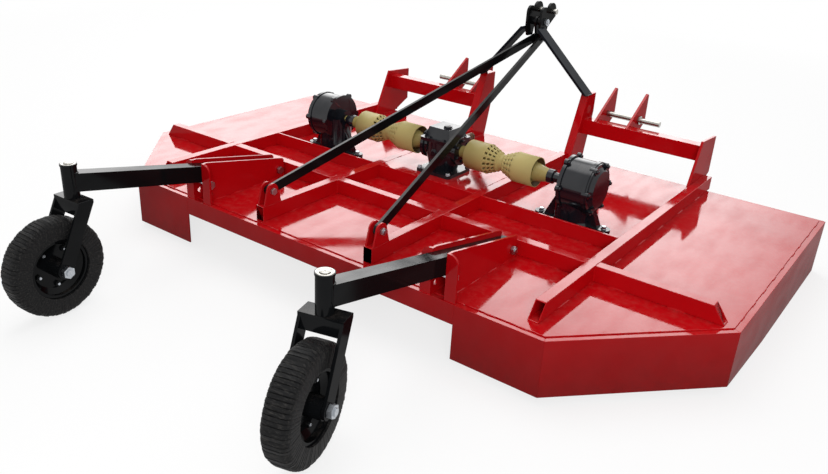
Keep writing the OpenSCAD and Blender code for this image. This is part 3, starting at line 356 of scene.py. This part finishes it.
zinc_plate = metal("zinc_plated_steel", "#c9cdd2", "#92979d", rough=0.28, grain=6)
joint_at = {joint["name"]: Vector(joint["pos_m"]) for joint in frame["joints"]}
joint_axis = {joint["name"]: Vector(joint["axis"]) for joint in frame["joints"]}
drive_y, drive_z = joint_at["drive_right_spin"].yz
foot_top, long_foot, short_foot = sheet_top + 16 * mm, 140 * mm, 102 * mm
drum_in, drum_out, flange_t = 38 * mm, 97 * mm, 14 * mm
ear_count, inner_ears, outer_ears = 6, 109 * mm, 96 * mm
foot_bolts = bmesh.new()
housing_bolts = bmesh.new()
for side, sign in zip(SIDES, (-1, 1)):
    out = Vector((sign, 0, 0))
    rotor = joint_at[f"rotor_{side}_spin"]
    for reach, turn in ((long_foot, 0), (short_foot, 90), (long_foot, 180), (short_foot, 270)):
        along = Vector((math.cos(math.radians(turn)), math.sin(math.radians(turn)), 0))
        spot = Vector((rotor.x, rotor.y, foot_top)) + along * reach
        hex_head(foot_bolts, spot, UP, flats=19 * mm, height=11 * mm)
    for radius, face in ((inner_ears, flange_t - drum_in), (outer_ears, drum_out)):
        for k in range(ear_count):
            a = math.tau * (k + 0.5) / ear_count
            spot = Vector((rotor.x + sign * face, drive_y - radius * math.sin(a), drive_z + radius * math.cos(a)))
            hex_head(housing_bolts, spot, out, flats=13 * mm, height=8 * mm)
lid_z = tube_top + 159 * mm
lid_bolt, base_bolt, boss_bolt = 74 * mm, 76 * mm, 46 * mm
side_boss, front_boss = 92 * mm, 100 * mm
for x in (-1, 1):
    for y in (-1, 1):
        for dx, dy in ((1, 0.5), (0.5, 1)):
            spot = Vector((x * dx * lid_bolt, drive_y + y * dy * lid_bolt, lid_z))
            hex_head(housing_bolts, spot, UP, flats=12 * mm, height=7 * mm)
        spot = Vector((x * base_bolt, drive_y + y * base_bolt, tube_top + flange_t))
        hex_head(foot_bolts, spot, UP, flats=16 * mm, height=10 * mm)
for k in range(ear_count):
    a = math.tau * (k + 0.5) / ear_count
    aside, rise = boss_bolt * math.cos(a), drive_z + boss_bolt * math.sin(a)
    spot = Vector((aside, drive_y + front_boss, rise))
    hex_head(housing_bolts, spot, Vector((0, 1, 0)), flats=12 * mm, height=7 * mm)
    for x in (-1, 1):
        spot = Vector((x * side_boss, drive_y + aside, rise))
        hex_head(housing_bolts, spot, Vector((x, 0, 0)), flats=12 * mm, height=7 * mm)
filler_cap = Vector((22 * mm, drive_y - 18 * mm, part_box("centre_gearbox")[1].z))
hex_head(housing_bolts, filler_cap, UP, flats=32 * mm, height=9 * mm)
drain_plug = Vector((0, drive_y - 82 * mm, drive_z - 8 * mm))
hex_head(housing_bolts, drain_plug, Vector((0, -1, 0)), flats=22 * mm, height=9 * mm)
piece("gearbox_foot_bolts", foot_bolts, zinc_plate, "chassis")
piece("gearbox_cover_bolts", housing_bolts, cast_enamel, "chassis")

# Drive shafts: forged yokes and a telescopic tube, painted khaki yellow, inside moulded polyethylene guards
# that look waxy outside; their inner faces carry painted shade, a dark brown. Each guard is two plain bells and two
# ringed tapers with slots that let it flex, on a moulded bush; a black collar and sleeve cover the yoke by the side
# gearbox.
yoke_paint = enamel("yoke_paint", "#a3945a", "#857544", gloss=0.25, coat=0.5, upright=1.0,
                    buckle=0.0, grain=4, depth=0.05)
guard_plastic = enamel("polyethylene", "#bdae74", "#9d8d56", gloss=0.36, coat=0.4, upright=1.0,
                       buckle=0.0, grain=3, depth=0.02)
# Painted shade: a dark brown copy of the plastic for the guards' inner faces.
inner_shade_plastic = enamel("polyethylene_painted_shade", "#5a4427", "#3d2d1a", gloss=0.25, coat=0.4, upright=1.0,
                         buckle=0.0, grain=14, depth=0.2)
dress(yoke_paint, *pairs("drive_shaft"))
ease(2 * mm, *pairs("drive_shaft"))
bell, bell_length, wall, bearing = 63 * mm, 90 * mm, 3 * mm, 24.3 * mm
waist, waist_half, ring_rise, ring_rows = 35 * mm, 8 * mm, 5 * mm, 8
slot_every, slot_wide, slotted_rows, guard_segments, collar_segments = 5, 2, (3, 5, 7), 80, 40
rightward = Vector((1, 0, 0))
yoke_end, yoke_collar, column_radius, shaft_radius = 541 * mm, 26.25 * mm, 75 * mm, 17.5 * mm
collar_length, collar_wall, sleeve_wall, sleeve_gap = 23 * mm, 2.6 * mm, 3 * mm, 2 * mm
fit, bevel = 0.2 * mm, 1 * mm
for side, sign in zip(SIDES, (-1, 1)):
    low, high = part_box(f"shaft_guard_{side}")
    middle = Vector(((low.x + high.x) / 2, drive_y, drive_z))
    mouth = (high.x - low.x) / 2
    taper_end = mouth - bell_length
    half = [(waist + (bell - waist) * row / ring_rows + ring_rise * (row % 2),
             waist_half + (taper_end - waist_half) * row / ring_rows) for row in range(ring_rows + 1)]
    half.append((bell, mouth))
    guard = bmesh.new()
    rings = [circle(guard, middle + rightward * x, rightward, r, guard_segments)
             for r, x in [(r, -x) for r, x in half[::-1]] + half]
    for row, (ring, following) in enumerate(zip(rings, rings[1:])):
        from_waist = abs(row - len(half) + 1)
        slotted = from_waist in slotted_rows
        for i in range(guard_segments):
            j = (i + 1) % guard_segments
            if not (slotted and i % slot_every < slot_wide):
                guard.faces.new((ring[i], ring[j], following[j], following[i]))
    made = piece(f"slotted_guard_{side}", guard, guard_plastic, "chassis", crease=15)
    shell = made.modifiers.new("wall", "SOLIDIFY")
    shell.thickness = wall
    shell.offset = -1
    # The inner faces take the painted-shade copy of the plastic.
    shell.material_offset = 1
    made.data.materials.append(inner_shade_plastic)
    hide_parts(f"shaft_guard_{side}")
    bush = bmesh.new()
    rings = [circle(bush, middle + rightward * x, rightward, r, guard_segments)
             for r, x in ((bearing, -waist_half), (waist - wall / 2, -waist_half),
                          (waist - wall / 2, waist_half), (bearing, waist_half))]
    skin(bush, rings + rings[:1], caps=False)
    piece(f"guard_bush_{side}", bush, guard_plastic, "chassis")
    collar = bmesh.new()
    sleeve_end = abs(joint_at[f"rotor_{side}_spin"].x) - column_radius - sleeve_gap
    collar_r, sleeve_r = yoke_collar + collar_wall, shaft_radius + sleeve_wall
    begin, step = yoke_end - collar_length, yoke_end + collar_wall
    rings = [circle(collar, Vector((sign * x, drive_y, drive_z)), rightward, r, collar_segments)
             for r, x in ((yoke_collar + fit, begin), (collar_r - bevel, begin),
                          (collar_r, begin + bevel), (collar_r, step - bevel),
                          (collar_r - bevel, step), (sleeve_r, step), (sleeve_r, sleeve_end),
                          (shaft_radius + fit, sleeve_end), (shaft_radius + fit, yoke_end + fit),
                          (yoke_collar + fit, yoke_end + fit))]
    skin(collar, rings + rings[:1], caps=False)
    piece(f"yoke_collar_{side}", collar, cast_enamel, f"drive_{side}")

# Input stub: a forged steel shaft with six splines, greased and lightly rusted.
# It turns in the front boss of the centre gearbox behind a pressed collar.
oiled_steel = metal("oiled_steel", "#6b4a35", "#4a3528", rough=0.42, grain=9)
stub_low, stub_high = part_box("input_shaft")
stub_radius, groove, spline_count, notch, collar_t = 17.5 * mm, 2.6 * mm, 6, 2.4 * mm, 7 * mm
collar_radius, collar_face = (stub_high.z - stub_low.z) / 2, drive_y + front_boss + 0.4 * mm
forward = Vector((0, 1, 0))


def spline_ring(bm, y, depth, chamfer):
    """One ring of the splined outline: flat-topped teeth with grooves between them."""
    corners = []
    for tooth in range(spline_count):
        for share, cut in ((0.02, depth), (0.18, 0), (0.5, 0), (0.82, 0), (0.98, depth)):
            a = math.tau * (tooth + share) / spline_count
            r = stub_radius - chamfer - cut
            corners.append(bm.verts.new((r * math.cos(a), y, drive_z + r * math.sin(a))))
    return corners


stub = bmesh.new()
collar_end = collar_face + collar_t
lathe(stub, Vector((0, collar_face, drive_z)), forward,
      [(collar_radius - bevel, 0), (collar_radius, bevel), (collar_radius, collar_t - bevel),
       (collar_radius - bevel, collar_t)], count=collar_segments)
skin(stub, [spline_ring(stub, y, depth, chamfer) for y, depth, chamfer in (
    (stub_low.y, 0, 0), (collar_end + 14 * mm, 0, 0), (collar_end + 20 * mm, groove, 0),
    (stub_high.y - 22 * mm, groove, 0), (stub_high.y - 20 * mm, groove, notch),
    (stub_high.y - 14 * mm, groove, notch), (stub_high.y - 12 * mm, groove, 0),
    (stub_high.y - 3 * mm, groove, 0), (stub_high.y, groove, notch))])
made = piece("splined_stub", stub, oiled_steel, "input")
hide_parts("input_shaft")

# Rotors under the deck: a forged hub and carrier bar with two swinging flat-bar blades each.
# The carriers wear black enamel, glossy on top and duller on upright faces; the blades are bare hardened
# steel, grey and clouded, ground along the cutting edge.
black_enamel = enamel("black_enamel", "#121315", "#0b0c0d", gloss=0.09, coat=0.62, upright=0.36,
                      buckle=0.2, grain=6, depth=0.01)
blade_steel = metal("blade_steel", "#77797c", "#5a5b5d", rough=0.4, grain=20)
blades = [f"blade_{side}_{end}" for side in SIDES for end in ("a", "b")]
dress(black_enamel, *pairs("rotor"))
dress(blade_steel, *blades)
ease(1.5 * mm, *pairs("rotor"), *blades)

# Hitch: box uprights, plate uprights, two box beams and four pointed lugs for the lower links.
# Flame-cut plate and folded box, welded and sprayed red; the link pins are bright turned steel.
hitch_plates = ["hitch_lugs", "stay_lugs", *pairs("outer_upright")]
hitch_boxes = pairs("inner_upright", "hitch_beam")
dress(red_enamel, *hitch_plates, *hitch_boxes)
ease(1.5 * mm, *hitch_plates)
ease(3 * mm, *hitch_boxes)
bright_steel = metal("turned_steel", "#c4c2bc", "#8f8c86", rough=0.22, grain=12)
dress(bright_steel, "lower_link_pins", "top_link_pin")
ease(1.2 * mm, "lower_link_pins", "top_link_pin")
hitch_welds = bmesh.new()
for name in pairs("inner_upright", "outer_upright"):
    low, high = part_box(name)
    for x in (low.x, high.x):
        bead(hitch_welds, [Vector((x, low.y + 4 * mm, sheet_top)),
                           Vector((x, sheet_high.y - 4 * mm, sheet_top))], leg=4 * mm)
    bead(hitch_welds, [Vector((low.x + corner_clear, low.y, sheet_top)),
                       Vector((high.x - corner_clear, low.y, sheet_top))], leg=4 * mm)
lug_places, plate_half = (365 * mm, 526 * mm), 6 * mm
for side, sign in zip(SIDES, (-1, 1)):
    low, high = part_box(f"hitch_beam_{side}")
    for x in (low.x, high.x):
        loop = [Vector((x, y, z)) for y, z in ((low.y, low.z), (high.y, low.z), (high.y, high.z), (low.y, high.z))]
        for start, end in zip(loop, loop[1:] + loop[:1]):
            bead(hitch_welds, [start, end], leg=3.5 * mm)
    for lug_x in lug_places:
        for x in (lug_x - plate_half, lug_x + plate_half):
            upright_bead(hitch_welds, sign * x, high.y, low.z + 18 * mm, high.z, leg=3.5 * mm)
            bead(hitch_welds, [Vector((sign * x, low.y + 8 * mm, high.z)),
                               Vector((sign * x, high.y, high.z))], leg=3.5 * mm)
piece("hitch_welds", hitch_welds, red_enamel, "chassis")

# Mast: flat-bar legs with the broad side outward, and long stays bolted to the head plates.
# Gloss black with zinc plated bolts; the legs are a lighter blue-grey black, a painted reflection of the sky on
# their sloping sides. Each leg starts at the head plate and is welded down on the upright; its rear edge stands past
# both by about half its depth.
mast_nodes = ["mast_head", "stay_tab", *pairs("stay")]
# Painted reflection: the legs' black is lighter and bluer than the rest, for the sky on their sloping faces.
leg_black_sky_sheen = enamel("leg_black_sky_sheen", "#1f242b", "#181c22", gloss=0.1, coat=1.0, upright=0.1,
                    buckle=0.2, grain=6, depth=0.01)
dress(black_enamel, *mast_nodes)
ease(1.4 * mm, *mast_nodes)
dress(zinc_plate, "stay_bolts", "castor_bolts", *pairs("axle"))
ease(1.2 * mm, "stay_bolts", "castor_bolts", *pairs("axle"))
mast_welds = bmesh.new()
leg_depth, cad_leg_wall = 70 * mm, 12 * mm
leg_tip, leg_seat, leg_foot = 6 * mm, 14 * mm, 19 * mm
for side, sign in zip(SIDES, (-1, 1)):
    low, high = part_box(f"mast_leg_{side}")
    near, far = sorted((abs(low.x), abs(high.x)))
    outline = ((near, high.z), (near + leg_tip, high.z), (far, low.z), (far - leg_foot, low.z),
               (near, high.z - leg_seat))
    lean = (high.y - low.y - cad_leg_wall) / (high.z - low.z)
    leg = bmesh.new()
    skin(leg, [[leg.verts.new((sign * x, high.y - lean * (z - low.z) - back, z)) for x, z in outline]
               for back in (leg_depth, 0)])
    made = piece(f"flat_bar_leg_{side}", leg, leg_black_sky_sheen, "chassis")
    break_edges(made, 1.4 * mm)
    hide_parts(f"mast_leg_{side}")
    for x in (far - leg_foot, far):
        bead(mast_welds, [Vector((sign * x, high.y - leg_depth + corner_clear, low.z)),
                          Vector((sign * x, high.y - corner_clear, low.z))], leg=3.5 * mm)
piece("mast_welds", mast_welds, black_enamel, "chassis")

# Castor brackets and arms: red bracket plates on the deck hold sloping black box arms.
# Each arm ends in an upright tube for the fork stem; plates, arm and tube are welded.
dress(red_enamel, *pairs("castor_bracket"))
ease(1.5 * mm, *pairs("castor_bracket"))
dress(black_enamel, *pairs("castor_arm"))
ease(3.5 * mm, *pairs("castor_arm"))
arm_half_width, bracket_t = 28.5 * mm, 8 * mm
arm_slope, arm_half_height, castor_tube = math.radians(11.5), 33.7 * mm, 27 * mm
pivot_back, pivot_rise, arc_steps = 30 * mm, 36 * mm, 12
bracket_welds = bmesh.new()
arm_welds = bmesh.new()
for side in SIDES:
    stem = joint_at[f"castor_{side}_swivel"]
    bracket_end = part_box(f"castor_bracket_{side}")[1].y
    for offset in (-arm_half_width - bracket_t, -arm_half_width, arm_half_width, arm_half_width + bracket_t):
        start = Vector((stem.x + offset, sheet_low.y + 6 * mm, sheet_top))
        end = Vector((stem.x + offset, bracket_end, sheet_top))
        stitches(bracket_welds, start, end, length=62 * mm, pitch=105 * mm, leg=4 * mm)
    pivot_y, pivot_z = bracket_end - pivot_back, sheet_top + pivot_rise
    for rise in (arm_half_height, -arm_half_height):
        arc = []
        for step in range(arc_steps + 1):
            a = math.pi * (step / arc_steps - 0.5)
            y = stem.y + castor_tube * math.cos(a)
            arc.append(Vector((stem.x + castor_tube * math.sin(a), y,
                               pivot_z + (pivot_y - y) * math.tan(arm_slope) + rise)))
        bead(arm_welds, arc, leg=4 * mm)
    for x in (-castor_tube, castor_tube):
        middle = pivot_z + (pivot_y - stem.y) * math.tan(arm_slope)
        upright_bead(arm_welds, stem.x + x, stem.y, middle - arm_half_height, middle + arm_half_height,
                     leg=3.5 * mm)
piece("bracket_welds", bracket_welds, red_enamel, "chassis")
piece("arm_welds", arm_welds, black_enamel, "chassis")

# Castor forks: flat-bar legs, a top plate and a cross plate welded round a turned stem, painted black.
# The stem's bright turned end shows in its cap; zinc plated wheel bolts end in the painted nuts of the rim.
dress(black_enamel, *pairs("castor_fork", "wheel_rim"))
ease(1.5 * mm, *pairs("castor_fork", "wheel_rim"))
rim_bolt_radius, rim_bolt_count, cap_segments, thread_segments = 68 * mm, 5, 40, 16
thread, thread_end, nut_face, head_face = 5.5 * mm, 6 * mm, 8 * mm, 16 * mm
for side in SIDES:
    stem = joint_at[f"castor_{side}_swivel"]
    across = joint_axis[f"wheel_{side}_spin"]
    ahead = UP.cross(across)
    cap_top = Vector((stem.x, stem.y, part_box(f"castor_fork_{side}")[1].z))
    cap = bmesh.new()
    lathe(cap, cap_top, UP, [(26 * mm, -1 * mm), (26 * mm, 0.6 * mm), (24.6 * mm, 1.2 * mm), (19 * mm, 1.2 * mm),
                             (18 * mm, 0.4 * mm)], count=cap_segments)
    lathe(cap, cap_top, UP, [(16 * mm, -1 * mm), (16 * mm, 2.2 * mm), (14.6 * mm, 3.2 * mm), (3 * mm, 3.2 * mm),
                             (2 * mm, 2 * mm)], count=cap_segments)
    piece(f"stem_end_{side}", cap, bright_steel, f"castor_{side}")
    centre = joint_at[f"wheel_{side}_spin"]
    ends = bmesh.new()
    thread_form = [(thread, -1 * mm), (thread, 0.8 * thread_end), (0.8 * thread, thread_end)]
    for k in range(rim_bolt_count):
        a = math.tau * k / rim_bolt_count
        spoke = ahead * math.sin(a) - UP * math.cos(a)
        lathe(ends, centre + spoke * rim_bolt_radius + across * nut_face, across, thread_form, thread_segments)
        lathe(ends, centre + spoke * rim_bolt_radius - across * head_face, -across, thread_form, thread_segments)
    piece(f"wheel_bolt_ends_{side}", ends, zinc_plate, f"wheel_{side}")

# Tyres: laminated wheels, slabs cut from old tyre casings and threaded side by side round the rim.
# Each slab stands a little higher or lower than the next, and the cut rubber and its cords are dull.
rubber, tree = blank("laminated_rubber")
place = add(tree, "TexCoord", {})["Object"]
cord_size = (34 * mm, 6 * mm, 6 * mm)
cords = add(tree, "Mapping", {"Vector": place, "Scale": [1 / size for size in cord_size]})[0]
ply = add(tree, "TexNoise", {"Vector": cords, "Scale": 1, "Detail": 6, "Roughness": 0.7})[0]
frayed = add(tree, "MapRange", {"Value": ply, "From Min": 0.5, "From Max": 0.72})[0]
tint = add(tree, "MixRGB", {"Fac": frayed, "Color1": linear("#0f0f10"), "Color2": linear("#3e3c3a")})[0]
dull = add(tree, "MapRange", {"Value": ply, "To Min": 0.5, "To Max": 0.8})[0]
bump = add(tree, "Bump", {"Height": ply, "Strength": 0.5, "Distance": 1.2 * mm})[0]
add(tree, "OutputMaterial", {"Surface": add(tree, "BsdfPrincipled", {
    "Base Color": tint, "Roughness": dull, "Normal": bump, "Specular IOR Level": 0.2})[0]})
tyre_width, rim_radius, shoulder = 88 * mm, 110 * mm, 22 * mm
slab_count, gap_depth, slab_from, slab_to, side_share = 80, 3 * mm, 0.12, 0.88, 0.2
for side in SIDES:
    centre, axis = joint_at[f"wheel_{side}_spin"], joint_axis[f"wheel_{side}_spin"]
    radius = centre.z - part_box(f"tyre_{side}")[0].z
    front = UP.cross(axis)
    tyre = bmesh.new()
    rings = []
    for slab in range(slab_count):
        high = radius - rng.uniform(0.2, 2.6) * mm
        half = tyre_width / 2 - rng.uniform(0, 0.8) * mm
        lean = rng.uniform(-2, 2) * mm
        for share, sunk in ((0.0, gap_depth), (slab_from, max(lean, 0)), (slab_to, max(-lean, 0))):
            angle = math.tau * (slab + share) / slab_count
            spoke = UP * math.cos(angle) + front * math.sin(angle)
            top, wide = high - sunk, half - side_share * sunk
            shoulders = [(top - shoulder * (1 - math.sin(a)), wide - shoulder * (1 - math.cos(a)))
                         for a in (math.radians(t) for t in (0, 30, 60, 90))]
            outline = [(rim_radius, -wide), *((r, -x) for r, x in shoulders), *shoulders[::-1], (rim_radius, wide)]
            rings.append([tyre.verts.new(centre + spoke * r + axis * x) for r, x in outline])
    skin(tyre, rings + rings[:1], caps=False)
    made = piece(f"laminated_tyre_{side}", tyre, rubber, f"wheel_{side}")
    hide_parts(f"tyre_{side}")

# Studio: a pale floor that fades to white in an even white surround, broad soft light from above and
# from the camera's side, and a long glowing panel beyond the machine whose sheen lies along the paint.
scene = bpy.context.scene
scene.view_settings.view_transform = "Standard"
world = bpy.data.worlds.new("surround")
world.use_nodes = True
scene.world = world
tree = world.node_tree
tree.nodes.clear()


def looked_at(tree):
    """1 for rays from the camera and those that metal or glass passes on, 0 for those that light the object."""
    ray = add(tree, "LightPath", {})
    passed_on = add(tree, "Math", {0: ray["Is Glossy Ray"], 1: ray["Is Transmission Ray"]}, operation="MAXIMUM")[0]
    return add(tree, "Math", {0: ray["Is Camera Ray"], 1: passed_on}, operation="MAXIMUM")[0]


strength = add(tree, "MapRange", {"Value": looked_at(tree), "To Min": 0.5, "To Max": 1.0})[0]
add(tree, "OutputWorld", {"Surface": add(tree, "Background", {"Color": linear("#ffffff"), "Strength": strength})[0]})

floor_reach = 30
floor_bm = bmesh.new()
bmesh.ops.create_grid(floor_bm, x_segments=4, y_segments=4, size=floor_reach)
floor_mesh = bpy.data.meshes.new("floor")
floor_bm.to_mesh(floor_mesh)
floor_bm.free()
floor = bpy.data.objects.new("floor", floor_mesh)
scene.collection.objects.link(floor)
floor_paint, tree = blank("floor_paint")
seen = looked_at(tree)
away = add(tree, "VectorMath", {0: add(tree, "TexCoord", {})["Object"]}, operation="LENGTH")["Value"]
fade_from, fade_to, near_glow = 2.5, 7, 0.76
faded = add(tree, "MapRange", {"Value": away, "From Min": fade_from, "From Max": fade_to,
                               "To Min": near_glow, "To Max": 1})[0]
share = add(tree, "Math", {0: seen, 1: faded}, operation="MULTIPLY")[0]
pale = add(tree, "MixRGB", {"Fac": seen, "Color1": linear("#505050"), "Color2": linear("#fafafa")})[0]
matt = add(tree, "BsdfDiffuse", {"Color": pale})[0]
glow = add(tree, "Emission", {"Color": linear("#ffffff"), "Strength": 1.0})[0]
add(tree, "OutputMaterial", {"Surface": add(tree, "MixShader", {0: share, 1: matt, 2: glow})[0]})
floor_mesh.materials.append(floor_paint)


def soft_box(name, place, target, width, height, power, fades=(0.3, 0.3)):
    """A rectangular lamp that faces a point and dims softly towards its edges."""
    lamp = bpy.data.lights.new(name, "AREA")
    lamp.shape = "RECTANGLE"
    lamp.size, lamp.size_y = width, height
    lamp.energy = power
    lamp.use_nodes = True
    tree = lamp.node_tree
    tree.nodes.clear()
    spot = add(tree, "SeparateXYZ", {"Vector": add(tree, "NewGeometry", {})["Parametric"]})
    glow = 1.0
    for way, fade in zip("XY", fades):
        inward = add(tree, "Math", {0: spot[way], 1: 0.5}, operation="PINGPONG")[0]
        dimmed = add(tree, "MapRange", {"Value": inward, "From Max": fade}, interpolation_type="SMOOTHSTEP")[0]
        glow = add(tree, "Math", {0: glow, 1: dimmed}, operation="MULTIPLY")[0]
    add(tree, "OutputLight", {"Surface": add(tree, "Emission", {"Strength": glow})[0]})
    holder = bpy.data.objects.new(name, lamp)
    holder.location = place
    holder.rotation_euler = (Vector(target) - Vector(place)).to_track_quat("-Z", "Y").to_euler()
    holder.visible_camera = False
    scene.collection.objects.link(holder)
    return holder


soft_box("overhead", (-1.0, 1.0, 5.5), (0, 0.2, 0.2), width=6, height=6, power=260)
fill = soft_box("fill", (4.2, -5.2, 3.2), (0, 0, 0.3), width=4, height=3, power=440)
fill.visible_glossy = False
front_fill = soft_box("front_fill", (-4.5, 5, 3.4), (0, 0, 0.3), width=4, height=3, power=260)
front_fill.visible_glossy = False
sheen = soft_box("sheen", (-4.25, 5.3, 3.3), (-0.45, 0.1, 1.8), width=14, height=6.4, power=890, fades=(0.25, 0.4))
sheen.visible_diffuse = False

# Camera: stands behind the machine on its right, half a metre above the mast, and leans by about three
# degrees. Place, turn and lens were solved from the corners of the deck.
camera = bpy.data.objects.new("camera", bpy.data.cameras.new("camera"))
camera.location = (1.8774, -2.43023, 1.50421)
camera.rotation_euler = [math.radians(a) for a in (65.42737, -2.93669, 37.05834)]
camera.data.sensor_width = 36
camera.data.lens = 34.664
scene.collection.objects.link(camera)
scene.camera = camera
